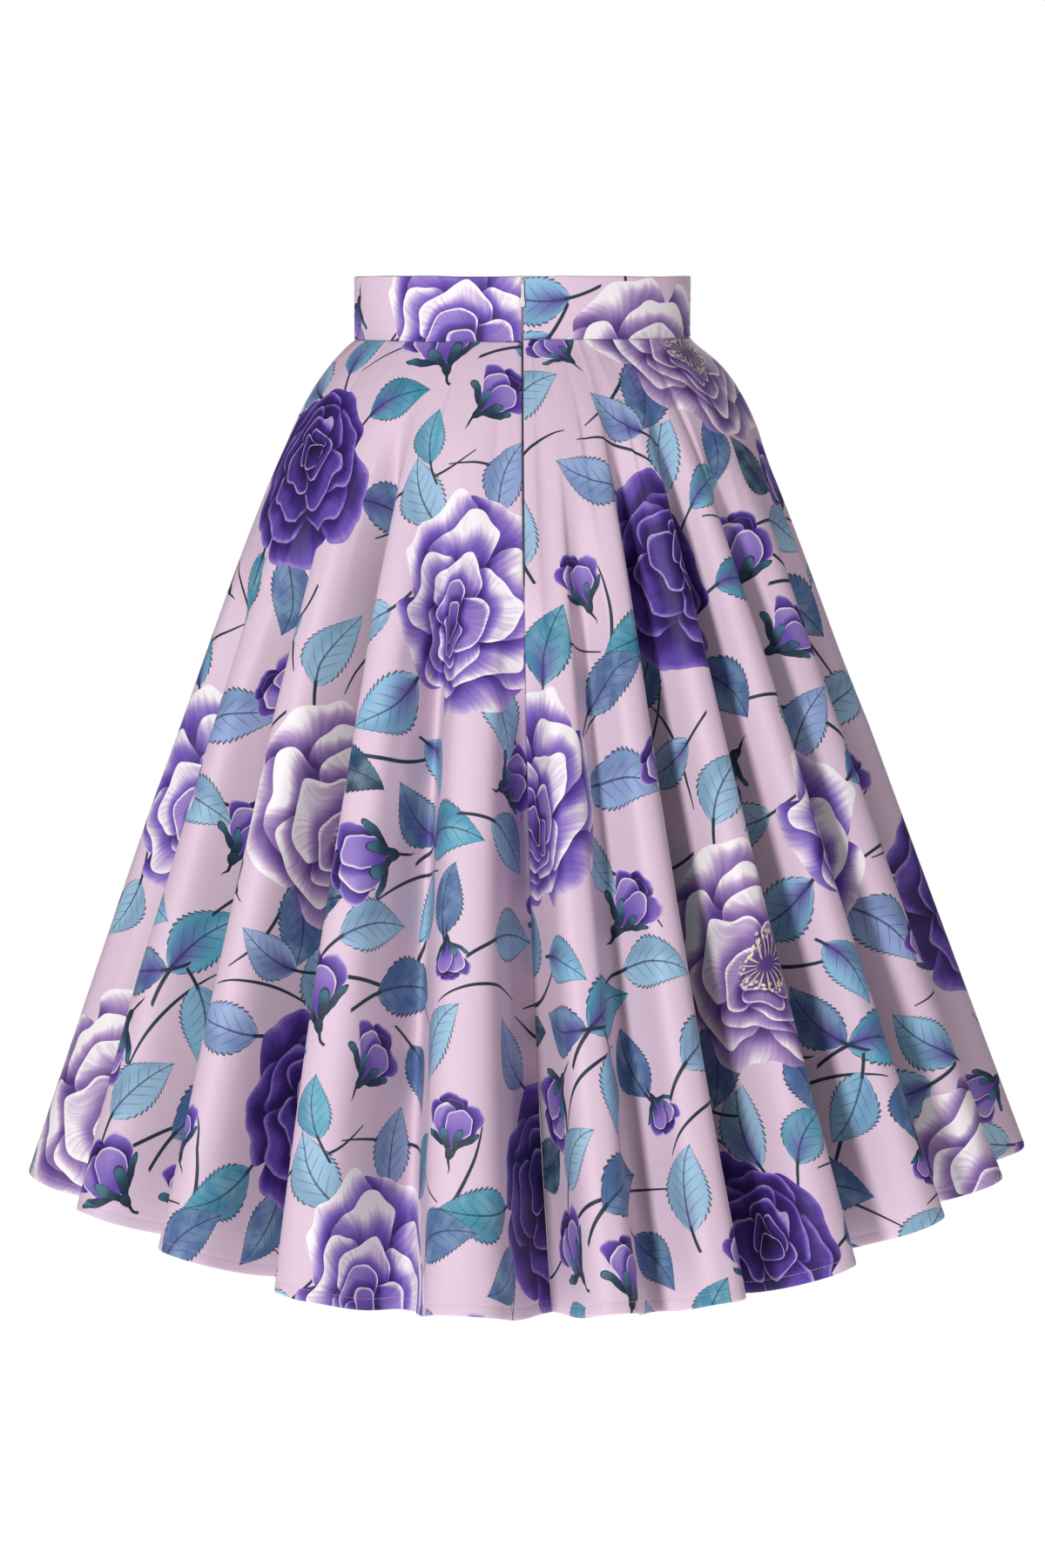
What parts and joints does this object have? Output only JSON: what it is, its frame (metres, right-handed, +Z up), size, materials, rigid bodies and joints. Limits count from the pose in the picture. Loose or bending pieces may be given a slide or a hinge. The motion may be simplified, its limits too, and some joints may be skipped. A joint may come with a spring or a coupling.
{
  "type": "circle skirt",
  "caption": "Full circle skirt in floral sateen, worn and hollow, with deep flutes, a fitted waistband and a zip down the centre back.",
  "frame": {"origin": "middle of the waist opening, halfway up the waistband, where the wearer holds the skirt", "axes": "+Z up along the body, -Y is the side with the zip (the wearer's back), +X is to the right when looking at the zip"},
  "size_m": [0.7816, 0.7898, 0.7383],
  "materials": {
    "sateen": "printed cotton sateen, soft sheen",
    "zip_tape": "woven polyester tape",
    "zip_chain": "dyed nylon coil",
    "zip_metal": "pale enamel on zinc"
  },
  "bodies": {
    "skirt": {"skirt_front": "sateen", "skirt_back_left": "sateen", "skirt_back_right": "sateen", "waistband_front": "sateen", "waistband_back_left": "sateen", "waistband_back_right": "sateen", "zip_tape_left": "zip_tape", "zip_tape_right": "zip_tape", "zip_chain": "zip_chain", "zip_slider": "zip_metal"},
    "pull_tab": {"zip_pull": "zip_metal"}
  },
  "joints": [
    {"name": "zip_pull_hinge", "type": "hinge", "parent": "skirt", "child": "pull_tab", "pos_m": [0, -0.1027, 0.0205], "axis": [-1, 0, 0], "range_deg": [0, 170]}
  ]
}
